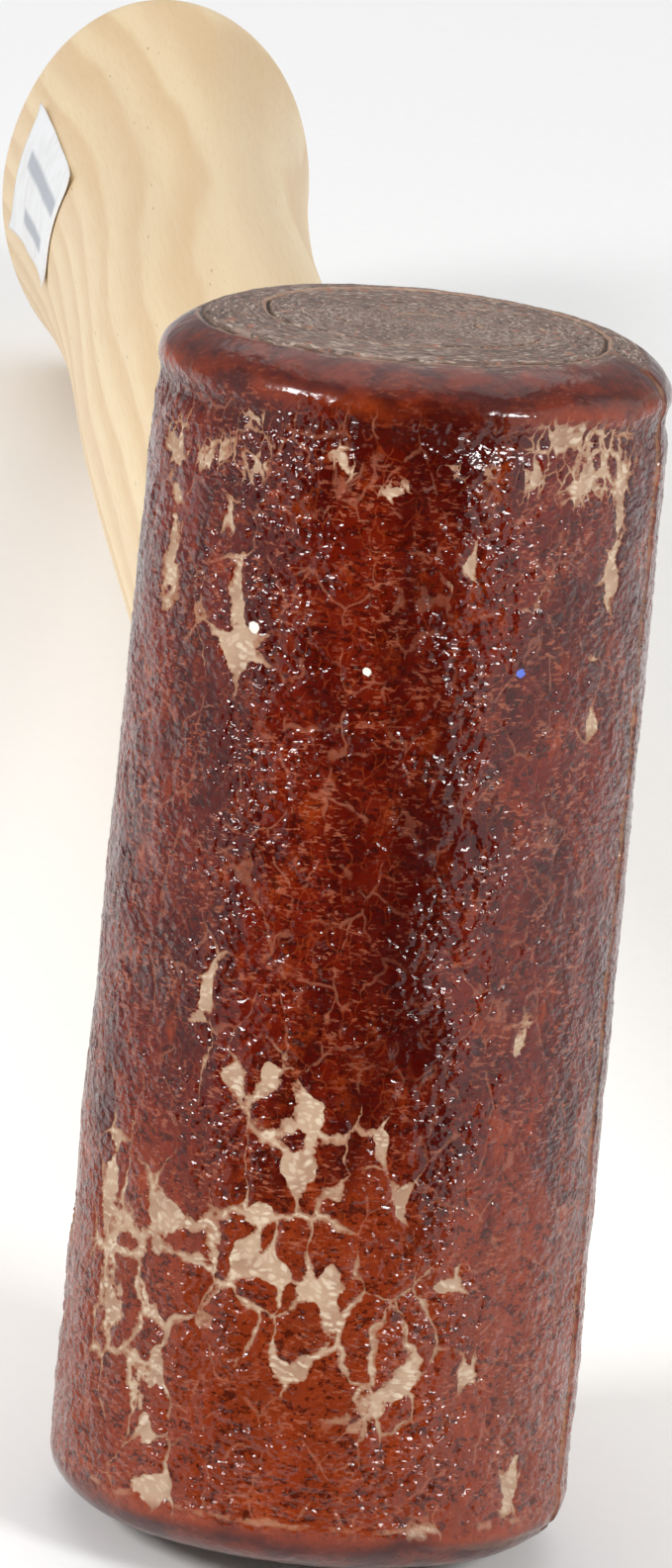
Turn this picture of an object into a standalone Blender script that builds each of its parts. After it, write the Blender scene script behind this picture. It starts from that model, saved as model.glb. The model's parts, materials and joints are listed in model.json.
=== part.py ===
"""Coiled rawhide mallet parked on a bench.

A long strip of rawhide is rolled into a solid cylinder, pressed, turned and lacquered to make the head.
An oval ash handle sits in a blind socket in its side, and a fox wedge spreads the tenon at the bottom
of that socket. A small paper label is stuck on the grip.

Everything is built square-on: +Z runs up the head's axis, +Y runs from the head to the butt of the
handle, and the head's centre is the origin. The bench_pose empty then tips the mallet back until the
rim of its lower face and its butt both touch the bench at z = 0.
"""

import math

import bmesh
import bpy
import numpy as np
from mathutils import Matrix, Vector

GAP = 0.0003  # clearance between pieces that touch

# Head
HEAD_LENGTH = 0.0955
HEAD_TOP_RADIUS = 0.01975
HEAD_FOOT_RADIUS = 0.02025
RIM_INSET = 0.0065  # how far the rounded rim reaches in over each striking face
RIM_DROP = 0.0041  # how far it reaches along the head's side
RIM_STEPS = 7
HEAD_SEGMENTS = 56

# The seam between one turn of the hide and the next
HIDE_THICKNESS = 0.0050
SEAM_WIDTH = 0.0003
SEAM_DEPTH_AT_LAP = 0.0006  # how far under the surface the seam runs just past the lap
SEAM_CORE_RADIUS = 0.0018
SEAM_STEPS_PER_TURN = 28
LAP_AZIMUTH = math.radians(-20)  # where the strip's outer edge lies, from +X towards +Y
LAP_FEATHER = 0.35  # radians over which that edge is skived thin
LAP_OVERRUN = 0.0010  # how far the seam cutter starts outside the head

# Handle, as distance from the head's axis, half width along X and slope
HANDLE_STATIONS = (
    (0.0200, 0.01040, 0.020),
    (0.1100, 0.01180, 0.008),
    (0.2050, 0.01290, 0.000),
    (0.2550, 0.01250, 0.000),
    (0.3310, 0.01565, 0.075),
)
HANDLE_STEPS = 30
HANDLE_SEGMENTS = 40
OVAL_AT_HEAD = 1.11  # height of the handle's section over its width
OVAL_AT_BUTT = 1.26
BUTT_DOME = 0.0090
BUTT_DOME_STEPS = 7
BUTT_SQUARENESS = 0.75  # 1 is an ellipse, less is squarer

# Tenon, in a blind socket
TENON_END = -0.0135
TENON_END_HALF_WIDTH = 0.0090
TENON_CHAMFER = 0.0008
SOCKET_BOTTOM = -0.0143
SOCKET_OVERRUN = 0.0050
SOCKET_SEGMENTS = 40

# Fox wedge, driven into the tenon's kerf from the bottom of the socket
WEDGE_LENGTH = 0.0220
WEDGE_BASE = 0.0040
WEDGE_TIP = 0.0010
WEDGE_HALF_WIDTH = 0.0083
KERF_SPARE = 0.0030  # how far the saw cut runs past the wedge's tip

# Paper label
LABEL_START = 0.2850
LABEL_END = 0.3200
LABEL_FROM = math.radians(149)
LABEL_TO = math.radians(189)
LABEL_THICKNESS = 0.0002
LABEL_COLUMNS = 12
LABEL_ROWS = 10

MATERIALS = {
    "rawhide": ((0.150, 0.030, 0.014), 0.30),
    "ash": ((0.740, 0.560, 0.350), 0.50),
    "wedge_wood": ((0.330, 0.190, 0.090), 0.60),
    "paper": ((0.820, 0.810, 0.790), 0.60),
}


def clear_scene():
    for old in list(bpy.data.objects):
        bpy.data.objects.remove(old, do_unlink=True)


def collection_named(name):
    made = bpy.data.collections.new(name)
    bpy.context.scene.collection.children.link(made)
    return made


def make_material(name):
    color, roughness = MATERIALS[name]
    material = bpy.data.materials.new(name)
    material.use_nodes = True
    shader = material.node_tree.nodes["Principled BSDF"]
    shader.inputs["Base Color"].default_value = (*color, 1.0)
    shader.inputs["Roughness"].default_value = roughness
    shader.inputs["Metallic"].default_value = 0.0
    return material


def add_object(name, data, collection):
    made = bpy.data.objects.new(name, data)
    collection.objects.link(made)
    return made


def make_cutter(cutter):
    cutter.hide_render = True
    cutter.display_type = "WIRE"
    return cutter


def evaluated_copy(source):
    """A mesh of the object with its modifiers applied, or of a curve with its caps welded on."""
    bpy.context.view_layer.update()
    graph = bpy.context.evaluated_depsgraph_get()
    mesh = bpy.data.meshes.new_from_object(source.evaluated_get(graph))
    shape = bmesh.new()
    shape.from_mesh(mesh)
    bmesh.ops.remove_doubles(shape, verts=shape.verts, dist=0.00001)
    bmesh.ops.recalc_face_normals(shape, faces=shape.faces)
    shape.to_mesh(mesh)
    shape.free()
    return mesh


def turned_mesh(name, profile, segments, collection):
    """The solid that a profile of (radius, height) points, top to bottom, sweeps round Z."""
    line = bpy.data.meshes.new(name)
    points = [(radius, 0.0, height) for radius, height in profile]
    edges = [(i, i + 1) for i in range(len(points) - 1)]
    line.from_pydata(points, edges, [])
    guide = add_object(name, line, collection)
    screw = guide.modifiers.new("turn", "SCREW")
    screw.steps = segments
    screw.render_steps = segments
    screw.use_merge_vertices = True
    screw.merge_threshold = 0.00001
    mesh = evaluated_copy(guide)
    bpy.data.objects.remove(guide, do_unlink=True)
    bpy.data.meshes.remove(line)
    mesh.name = name
    return mesh


def flat_outline_mesh(name, outline, half_height, collection):
    """The prism of a closed XY outline, from -half_height to +half_height."""
    curve = bpy.data.curves.new(name, "CURVE")
    curve.dimensions = "2D"
    curve.fill_mode = "BOTH"
    curve.extrude = half_height
    spline = curve.splines.new("POLY")
    spline.points.add(len(outline) - 1)
    for point, (x, y) in zip(spline.points, outline):
        point.co = (x, y, 0.0, 1.0)
    spline.use_cyclic_u = True
    guide = add_object(name, curve, collection)
    mesh = evaluated_copy(guide)
    bpy.data.objects.remove(guide, do_unlink=True)
    mesh.name = name
    return mesh


def subtract(target, cutter):
    modifier = target.modifiers.new(cutter.name, "BOOLEAN")
    modifier.operation = "DIFFERENCE"
    modifier.solver = "EXACT"
    modifier.object = cutter


def shade_round(mesh, degrees):
    mesh.shade_smooth()
    mesh.set_sharp_from_angle(angle=math.radians(degrees))


# Head


def head_profile():
    """Points (radius, height) from the middle of the top face, over both rims, to the middle of the lower."""
    top_arc = []
    foot_arc = []
    for step in range(RIM_STEPS + 1):
        angle = math.pi / 2 * step / RIM_STEPS
        inward = RIM_INSET * (1 - math.sin(angle))
        rise = HEAD_LENGTH / 2 - RIM_DROP * (1 - math.cos(angle))
        top_arc.append((HEAD_TOP_RADIUS - inward, rise))
        foot_arc.append((HEAD_FOOT_RADIUS - inward, -rise))
    middle = ((HEAD_TOP_RADIUS + HEAD_FOOT_RADIUS) / 2, 0.0)
    poles = ((0.0, HEAD_LENGTH / 2), (0.0, -HEAD_LENGTH / 2))
    return [poles[0], *top_arc, middle, *reversed(foot_arc), poles[1]]


def seam_radius(turned):
    """Radius of the seam after it has turned this many radians inwards from the lap."""
    depth = SEAM_DEPTH_AT_LAP + HIDE_THICKNESS * turned / (2 * math.pi)
    lead_out = (SEAM_DEPTH_AT_LAP + LAP_OVERRUN) * max(0.0, 1 - turned / LAP_FEATHER) ** 2
    return HEAD_FOOT_RADIUS - depth + lead_out


def seam_centreline():
    """The spiral's points, from just outside the lap to the core of the roll."""
    run = HEAD_FOOT_RADIUS - SEAM_DEPTH_AT_LAP - SEAM_CORE_RADIUS
    last = 2 * math.pi * run / HIDE_THICKNESS
    feather = np.linspace(0.0, LAP_FEATHER, 6)[:-1]
    rest = np.linspace(LAP_FEATHER, last, int(SEAM_STEPS_PER_TURN * last / (2 * math.pi)))
    points = []
    for turned in (*feather, *rest):
        azimuth = LAP_AZIMUTH + turned
        radius = seam_radius(turned)
        points.append(Vector((radius * math.cos(azimuth), radius * math.sin(azimuth))))
    return points


def seam_outline():
    """The thin closed outline round the spiral centreline."""
    line = seam_centreline()
    left = []
    right = []
    for i, point in enumerate(line):
        ahead = line[min(i + 1, len(line) - 1)]
        behind = line[max(i - 1, 0)]
        along = (ahead - behind).normalized()
        across = Vector((-along.y, along.x)) * SEAM_WIDTH / 2
        left.append(point + across)
        right.append(point - across)
    return left + right[::-1]


def make_seam_cutter(cutters):
    mesh = flat_outline_mesh("seam_cutter", seam_outline(), HEAD_LENGTH, cutters)
    return make_cutter(add_object("seam_cutter", mesh, cutters))


def make_socket_cutter(cutters):
    """The oval, slightly tapered blind hole for the tenon, with its mouth at the back of the head."""
    mouth = HEAD_FOOT_RADIUS + SOCKET_OVERRUN
    depth = mouth - SOCKET_BOTTOM
    shape = bmesh.new()
    bmesh.ops.create_cone(
        shape,
        cap_ends=True,
        segments=SOCKET_SEGMENTS,
        radius1=tenon_half_width(SOCKET_BOTTOM) + GAP,
        radius2=tenon_half_width(mouth) + GAP,
        depth=depth,
    )
    bmesh.ops.translate(shape, verts=shape.verts, vec=(0.0, 0.0, SOCKET_BOTTOM + depth / 2))
    bmesh.ops.scale(shape, verts=shape.verts, vec=(1.0, oval_ratio(0.0), 1.0))
    mesh = bpy.data.meshes.new("socket_cutter")
    shape.to_mesh(mesh)
    shape.free()
    cutter = make_cutter(add_object("socket_cutter", mesh, cutters))
    lay_along_handle(cutter)
    return cutter


def make_rawhide_coil(parts, cutters):
    """The head: one strip of hide, whose turns are parted by a spiral seam."""
    mesh = turned_mesh("rawhide_coil", head_profile(), HEAD_SEGMENTS, parts)
    shade_round(mesh, 30)
    coil = add_object("rawhide_coil", mesh, parts)
    seam = make_seam_cutter(cutters)
    socket = make_socket_cutter(cutters)
    subtract(coil, socket)
    subtract(coil, seam)
    return coil, [seam, socket]


# Handle


def tenon_half_width(distance):
    """Half width of the tenon, which tapers from the head's back to its end."""
    mouth, mouth_half_width, _ = HANDLE_STATIONS[0]
    share = (distance - TENON_END) / (mouth - TENON_END)
    return TENON_END_HALF_WIDTH + share * (mouth_half_width - TENON_END_HALF_WIDTH)


def handle_half_width(distance):
    """Half width of the handle outside the head: a cubic through the stations with their slopes."""
    if distance <= HANDLE_STATIONS[0][0]:
        return tenon_half_width(distance)
    for before, after in zip(HANDLE_STATIONS, HANDLE_STATIONS[1:]):
        if distance <= after[0]:
            break
    span = after[0] - before[0]
    t = (distance - before[0]) / span
    blend = t * t * (3 - 2 * t)
    lead_in = span * before[2] * t * (1 - t) ** 2
    lead_out = span * after[2] * t * t * (t - 1)
    return before[1] + (after[1] - before[1]) * blend + lead_in + lead_out


def oval_ratio(distance):
    share = min(max(distance / HANDLE_STATIONS[-1][0], 0.0), 1.0)
    return OVAL_AT_HEAD + (OVAL_AT_BUTT - OVAL_AT_HEAD) * share


def handle_profile():
    """Points (half width, distance) from the pole of the butt to the end of the tenon."""
    start = HANDLE_STATIONS[0][0]
    butt, butt_half_width, _ = HANDLE_STATIONS[-1]
    points = []
    for step in range(BUTT_DOME_STEPS):
        angle = math.pi / 2 * (1 - step / BUTT_DOME_STEPS)
        width = butt_half_width * math.cos(angle) ** BUTT_SQUARENESS if step else 0.0
        points.append((width, butt + BUTT_DOME * math.sin(angle) ** BUTT_SQUARENESS))
    for distance in np.linspace(butt, start, HANDLE_STEPS):
        points.append((handle_half_width(distance), distance))
    points.append((TENON_END_HALF_WIDTH, TENON_END + TENON_CHAMFER))
    points.append((TENON_END_HALF_WIDTH - TENON_CHAMFER, TENON_END))
    points.append((0.0, TENON_END))
    return points


def lay_along_handle(piece):
    """Turns a piece whose length is built along Z so that it runs along +Y, with its Y across as -Z."""
    piece.rotation_euler = (-math.pi / 2, 0.0, 0.0)


def wedge_outline(spare, beyond_tip, beyond_base):
    """A wedge's side view as (distance from the head's axis, height) points, grown by a margin."""
    base = TENON_END
    tip = TENON_END + WEDGE_LENGTH
    return (
        (base - beyond_base, WEDGE_BASE / 2 + spare),
        (tip + beyond_tip, WEDGE_TIP / 2 + spare),
        (tip + beyond_tip, -WEDGE_TIP / 2 - spare),
        (base - beyond_base, -WEDGE_BASE / 2 - spare),
    )


def place_wedge_shape(piece):
    """Stands an XY outline up so that its X runs along +Y and its Y runs up."""
    piece.matrix_world = Matrix(((0, 0, 1, 0), (1, 0, 0, 0), (0, 1, 0, 0), (0, 0, 0, 1)))


def make_kerf_cutter(cutters):
    outline = wedge_outline(GAP, KERF_SPARE, TENON_CHAMFER)
    mesh = flat_outline_mesh("kerf_cutter", outline, 2 * TENON_END_HALF_WIDTH, cutters)
    cutter = make_cutter(add_object("kerf_cutter", mesh, cutters))
    place_wedge_shape(cutter)
    return cutter


def make_handle(parts, cutters):
    mesh = turned_mesh("handle", handle_profile(), HANDLE_SEGMENTS, parts)
    for vertex in mesh.vertices:
        vertex.co.y *= oval_ratio(vertex.co.z)
    shade_round(mesh, 30)
    handle = add_object("handle", mesh, parts)
    lay_along_handle(handle)
    kerf = make_kerf_cutter(cutters)
    subtract(handle, kerf)
    return handle, kerf


def make_fox_wedge(parts):
    outline = wedge_outline(0.0, 0.0, 0.0)
    mesh = flat_outline_mesh("fox_wedge", outline, WEDGE_HALF_WIDTH, parts)
    wedge = add_object("fox_wedge", mesh, parts)
    place_wedge_shape(wedge)
    return wedge


def make_price_label(parts):
    """A blank paper label that follows the grip's surface."""
    shape = bmesh.new()
    bmesh.ops.create_grid(shape, x_segments=LABEL_COLUMNS, y_segments=LABEL_ROWS, size=0.5)
    for vertex in shape.verts:
        distance = LABEL_START + (LABEL_END - LABEL_START) * (vertex.co.x + 0.5)
        angle = LABEL_FROM + (LABEL_TO - LABEL_FROM) * (vertex.co.y + 0.5)
        half_width = handle_half_width(distance) + GAP
        half_height = handle_half_width(distance) * oval_ratio(distance) + GAP
        vertex.co = (half_width * math.cos(angle), distance, half_height * math.sin(angle))
    mesh = bpy.data.meshes.new("price_label")
    shape.to_mesh(mesh)
    shape.free()
    label = add_object("price_label", mesh, parts)
    thicken = label.modifiers.new("thickness", "SOLIDIFY")
    thicken.thickness = LABEL_THICKNESS
    thicken.offset = 1.0
    return label


# Pose


def depth_below_centre(tip):
    """How far the head's rim and the handle each reach below the head's centre at this tip angle."""
    rim_centre = HEAD_FOOT_RADIUS - RIM_INSET
    rim_height = HEAD_LENGTH / 2 - RIM_DROP
    rim_reach = math.hypot(RIM_INSET * math.sin(tip), RIM_DROP * math.cos(tip))
    head = rim_centre * math.sin(tip) + rim_height * math.cos(tip) + rim_reach
    handle = 0.0
    for distance in np.linspace(HANDLE_STATIONS[0][0], HANDLE_STATIONS[-1][0], 400):
        half_height = handle_half_width(distance) * oval_ratio(distance)
        handle = max(handle, distance * math.sin(tip) + half_height * math.cos(tip))
    return head, handle


def park_angle():
    """The tip angle at which the rim of the lower face and the handle reach the bench together."""
    low = 0.0
    high = math.radians(30)
    for _ in range(40):
        middle = (low + high) / 2
        head, handle = depth_below_centre(middle)
        if handle < head:
            low = middle
        else:
            high = middle
    return high


def world_corners(parts):
    """Lowest and highest corner of the parts as they are evaluated."""
    bpy.context.view_layer.update()
    graph = bpy.context.evaluated_depsgraph_get()
    points = []
    for part in parts:
        evaluated = part.evaluated_get(graph)
        points.extend(evaluated.matrix_world @ vertex.co for vertex in evaluated.data.vertices)
    points = np.array(points)
    return points.min(axis=0), points.max(axis=0)


def park_on_bench(parts, cutters, collection):
    """Tips the mallet back, and sets it so that the middle of its base is the origin."""
    pose = add_object("bench_pose", None, collection)
    for piece in (*parts, *cutters):
        piece.parent = pose
    pose.rotation_euler = (-park_angle(), 0.0, 0.0)
    low, high = world_corners(parts)
    pose.location = (-(low[0] + high[0]) / 2, -(low[1] + high[1]) / 2, -low[2])


def main():
    clear_scene()
    parts = collection_named("rawhide_mallet")
    cutters = collection_named("cutters")
    coil, coil_cutters = make_rawhide_coil(parts, cutters)
    handle, kerf = make_handle(parts, cutters)
    wedge = make_fox_wedge(parts)
    label = make_price_label(parts)
    coil.data.materials.append(make_material("rawhide"))
    handle.data.materials.append(make_material("ash"))
    wedge.data.materials.append(make_material("wedge_wood"))
    label.data.materials.append(make_material("paper"))
    park_on_bench([coil, handle, wedge, label], [*coil_cutters, kerf], parts)
    bpy.context.view_layer.update()


main()
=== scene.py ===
"""The looks of the rawhide mallet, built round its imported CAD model.

The head and the handle are modelled in the head's own frame: +Z runs up the head's axis, +Y runs along
the handle to its butt, and the head's centre is the origin. Each piece then gets that frame as its
matrix. Patterns are worked out in millimetres, and one function gives both the relief of the head's
skin (in geometry nodes) and its colours (in the material), so that the two always agree.
"""

import json
import math
import random

import bpy
import numpy as np
from mathutils import Matrix, Vector


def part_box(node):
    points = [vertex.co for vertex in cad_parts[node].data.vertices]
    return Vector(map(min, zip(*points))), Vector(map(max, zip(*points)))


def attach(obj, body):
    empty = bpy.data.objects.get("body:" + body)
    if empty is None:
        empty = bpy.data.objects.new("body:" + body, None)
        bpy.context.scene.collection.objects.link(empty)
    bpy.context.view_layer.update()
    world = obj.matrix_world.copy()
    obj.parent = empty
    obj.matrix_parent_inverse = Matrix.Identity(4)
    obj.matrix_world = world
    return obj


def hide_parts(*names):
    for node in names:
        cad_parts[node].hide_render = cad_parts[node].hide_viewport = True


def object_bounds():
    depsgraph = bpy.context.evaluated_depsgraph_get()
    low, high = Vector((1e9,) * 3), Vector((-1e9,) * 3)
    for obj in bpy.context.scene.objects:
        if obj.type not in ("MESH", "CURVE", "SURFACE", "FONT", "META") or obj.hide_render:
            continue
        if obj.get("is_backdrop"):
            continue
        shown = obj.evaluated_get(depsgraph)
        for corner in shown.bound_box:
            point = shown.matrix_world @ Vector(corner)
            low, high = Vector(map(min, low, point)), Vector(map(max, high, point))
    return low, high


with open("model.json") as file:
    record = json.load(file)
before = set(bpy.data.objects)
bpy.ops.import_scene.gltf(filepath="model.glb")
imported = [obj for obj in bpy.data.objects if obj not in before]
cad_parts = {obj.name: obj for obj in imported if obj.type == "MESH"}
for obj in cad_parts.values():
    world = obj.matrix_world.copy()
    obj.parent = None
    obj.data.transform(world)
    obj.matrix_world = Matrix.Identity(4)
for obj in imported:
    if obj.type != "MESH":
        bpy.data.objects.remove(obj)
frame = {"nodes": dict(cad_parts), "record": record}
CAD_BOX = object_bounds()

MM = 1000.0  # millimetres in a metre

# Head, as in the CAD model
RIM_INSET = 0.0065
RIM_DROP = 0.0041
HEAD_TOP_RADIUS = 0.01975
HEAD_COLUMNS = 512
HEAD_STEP = 0.00023  # spacing of the rings along the side
RIM_RINGS = 34
CAP_STEP = 0.00017  # spacing of the rings on a striking face

# Spiral seam of the rolled hide, as in the CAD model
HIDE_THICKNESS = 0.0050
SEAM_DEPTH_AT_LAP = 0.0006
LAP_AZIMUTH = math.radians(-20)  # from +X towards +Y

# Handle, as in the CAD model: distance from the head's axis, half width and slope
HANDLE_STATIONS = (
    (0.0200, 0.01040, 0.020),
    (0.1100, 0.01180, 0.008),
    (0.2050, 0.01290, 0.000),
    (0.2550, 0.01250, 0.000),
    (0.3310, 0.01565, 0.075),
)
OVAL_AT_HEAD = 1.11
OVAL_AT_BUTT = 1.26
BUTT_DOME = 0.0090
BUTT_SQUARENESS = 0.75
HANDLE_COLUMNS = 160
HANDLE_STEP = 0.0012
DOME_RINGS = 28
SOFT_FROM = 0.024  # the hand-sanded unevenness starts here, clear of the socket
SOFT_RUN_IN = 0.020
SOFT_SHARE = 0.0035  # of the half width
TENON_END = -0.0135
TENON_END_HALF_WIDTH = 0.0090
SOCKET_BOTTOM = -0.0143
GAP = 0.0003
SOCKET_SPARE = 0.005  # how far the socket's cutter reaches past the head's side
KERF_MARGIN = 0.002  # and the kerf's cutter past the tenon's end
WEDGE_LENGTH = 0.0220
KERF_SPARE = 0.0030
WEDGE_BASE = 0.0040
WEDGE_TIP = 0.0010

# Paper label, as in the CAD model
LABEL_START = 0.2850
LABEL_END = 0.3200
LABEL_FROM = math.radians(149)  # round the handle, from +X over the top
LABEL_TO = math.radians(189)
LABEL_LIFT = 0.00025
LABEL_THICKNESS = 0.00015
LABEL_CURL = 0.0005
LABEL_WAVE = 0.00004
LABEL_COLUMNS, LABEL_ROWS = 48, 40
LABEL_BARS = ((0.08, 0.85, 0.30, 0.44), (0.20, 0.70, 0.70, 0.82))  # from and to, along and across

# Relief of the head's skin, in millimetres
FILM_THICKNESS = 0.13
ISLAND_SIZE = 4.0
FLAKE_SIZE = 1.15
LACE_FROM, LACE_TO = 34.0, 38.0  # above this height the film wears away flake by flake
GROOVE_BELOW_RIM_FOOT = 1.5
GROOVE_HALF_WIDTH = 2.0
GROOVE_DEPTH = 0.38
FOOT_GROOVE_SHARE = 0.10  # the groove hardly shows at the foot
SHOULDER_ABOVE_RIM_FOOT = 1.0
SHOULDER_HALF_WIDTH = 1.8
SHOULDER_HEIGHT = 0.12
LAP_DEPTH = 0.40
LAP_LEAF_WIDTH = 4.0
LAP_LEAF_HEIGHT = 0.12
SEAM_CRACK_DEPTH = 0.35
SOCKET_CLEAR_FROM, SOCKET_CLEAR_TO = 17.0, 18.0  # from the head's centre: no relief inside the socket

# Worn places in the lacquer: angle round the head from the front (degrees, positive to the right),
# height above the head's centre, half width, half height (mm), lean (degrees) and strength
WORN_PLACES = (
    # upper left
    (-69, 38, 1.6, 1.4, 0, 0.75),
    (-65, 31, 0.7, 6.0, 0, 0.8),
    (-54, 38, 1.4, 0.8, 30, 0.5),
    (-44, 33, 0.9, 2.4, 20, 0.7),
    (-40, 38, 0.8, 1.5, -15, 0.55),
    (-42, 42, 1.4, 0.6, 10, 0.4),
    (-40, 24, 1.7, 1.8, 0, 1.3),
    (-41, 28, 0.8, 1.4, 0, 0.7),
    (-19, 40, 0.6, 1.2, 30, 0.8),
    (-7, 38, 0.9, 0.6, 25, 0.8),
    # upper right
    (33, 43, 2.6, 0.9, -10, 0.62),
    (46, 40.5, 4.4, 3.0, -15, 0.39),
    (38, 39, 1.4, 0.8, 30, 0.8),
    (52, 36, 0.7, 4.0, 0, 0.55),
    (52, 31, 1.1, 1.4, 0, 1.0),
    (25, 40, 0.6, 1.3, -20, 0.8),
    (11, 33, 1.0, 1.8, -25, 0.7),
    (47, 27, 0.7, 2.0, 0, 0.6),
    (49, 20, 1.4, 1.2, 0, 0.8),
    # middle
    (-39, -3, 0.8, 2.6, -15, 0.8),
    (-30, 2, 1.2, 0.8, 20, 0.5),
    (35, -5, 1.0, 2.0, -15, 0.8),
    (17, -3, 0.7, 1.3, 0, 0.7),
    # lower left
    (-13, -11, 2.1, 1.7, 20, 1.15),
    (-13, -15.5, 1.5, 1.4, 0, 1.1),
    (-32, -9, 1.0, 0.9, 0, 0.8),
    (-22, -8, 0.7, 1.0, 20, 0.8),
    (-64, -19, 1.2, 4.2, -10, 0.75),
    (-44, -20.5, 1.7, 1.6, 0, 1.0),
    (-21, -19, 1.4, 0.9, 20, 0.7),
    (-59, -27, 1.1, 4.0, 10, 0.42),
    (-46, -25, 0.9, 2.4, 10, 0.36),
    (-43, -34, 1.0, 2.4, -20, 0.6),
    (-19, -23.5, 2.8, 1.0, -10, 1.0),
    (-24, -22.5, 1.0, 1.4, 0, 0.7),
    (-4, -25, 0.7, 3.2, 0, 0.9),
    (-42, -42.5, 1.8, 1.4, 0, 1.3),
    (-44, -38, 0.8, 2.0, 15, 0.6),
    # lower right
    (4, -12.5, 0.7, 1.2, 0, 0.9),
    (10, -17, 0.7, 2.2, -10, 0.8),
    (22, -24, 1.6, 1.2, 10, 0.9),
    (13, -32, 1.2, 2.8, -20, 0.7),
    (-12, -31, 1.4, 1.4, 20, 0.7),
    (46, -40, 1.0, 3.6, 0, 1.0),
    (30, -31, 1.0, 1.2, 0, 0.6),
    (22, -44, 2.4, 1.0, 0, 0.5),
    # wide and faint, so that only a net of cracks is bare there
    (-44, 40, 4.0, 1.6, 0, 0.16),
    (8, 40, 5.0, 1.6, 0, 0.18),
    (27, 31, 2.0, 4.0, 0, 0.20),
    (-55, 28, 4.0, 8.0, 0, 0.14),
    (-54, -29, 7.0, 10.0, 0, 0.34),
    (-27, -9, 4.0, 3.0, 0, 0.30),
    (-15, -24, 6.0, 6.0, 0, 0.26),
    (8, -30, 5.0, 6.0, 0, 0.22),
)
WEAR_CORE = (0.75, 1.6)  # strength and falloff of a worn place itself
WEAR_HALO = (0.26, 0.25)  # and of the cracked film round it
MOST_WEAR = 1.6
BACK_WORN_PLACES = 34  # more where the photograph doesn't reach, at random
BACK_SEED = 11
BACK_ANGLES = (85, 275)
BACK_REACH = 42  # mm from the head's centre, up or down
FLECK = (26, 24.5, 0.5)  # a blue speck of paint: angle, height and radius
DARK_REFLECTION_AT = 2.0  # where a band of painted dark reflection lies down the front, in mm to the right
CHIPS = ((-36, 26, 0.55), (-9, 24, 0.5))  # chips down to white hide

# Camera, at the photograph's viewing angle
VIEW_AZIMUTH = -4.816  # degrees, like the next two
VIEW_ELEVATION = 17.133
VIEW_ROLL = 6.028
VIEW_DISTANCE = 1.0328
VIEW_LENS = 304.09
SENSOR = 36.0
FAR_CLIP = 50.0
AIM_RIGHT = -0.00197  # from the head's centre, along the picture's sides
AIM_UP = 0.01085

# Studio. Area lights: name, azimuth, elevation (degrees), distance, width, height (m) and power (W)
SOFT_BOXES = (
    ("left_box", -61, 30, 1.0, 0.26, 0.24, 6.5),
    ("right_box", 43, 28, 1.0, 0.24, 0.22, 5.5),
    ("top_box", 180, 62, 1.6, 1.6, 1.6, 9.0),
)
WORLD_STRENGTH = 0.44
FLOOR_SIZE = 14.0
# Cards that only gloss reflects: outlines of (reach, height), which start on the bench beside the head,
# then each card's name, azimuth from and to (degrees), outline and glow
CARD_BACK = ((0.6, 0.002), (1.3, 0.002), (1.3, 0.5), (1.3, 1.1))
LEANING_CARD = ((0.045, 0.002), *CARD_BACK, (0.9, 1.9))
UPRIGHT_CARD = ((0.04, 0.002), *CARD_BACK)
CARD_COLUMNS = 40
CARDS = (
    ("dark_screen", -50, 32, LEANING_CARD, 0.0),
    ("right_card", 36, 120, UPRIGHT_CARD, 1.15),
    ("left_card", -105, -54, UPRIGHT_CARD, 0.7),
)


# Node trees


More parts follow.
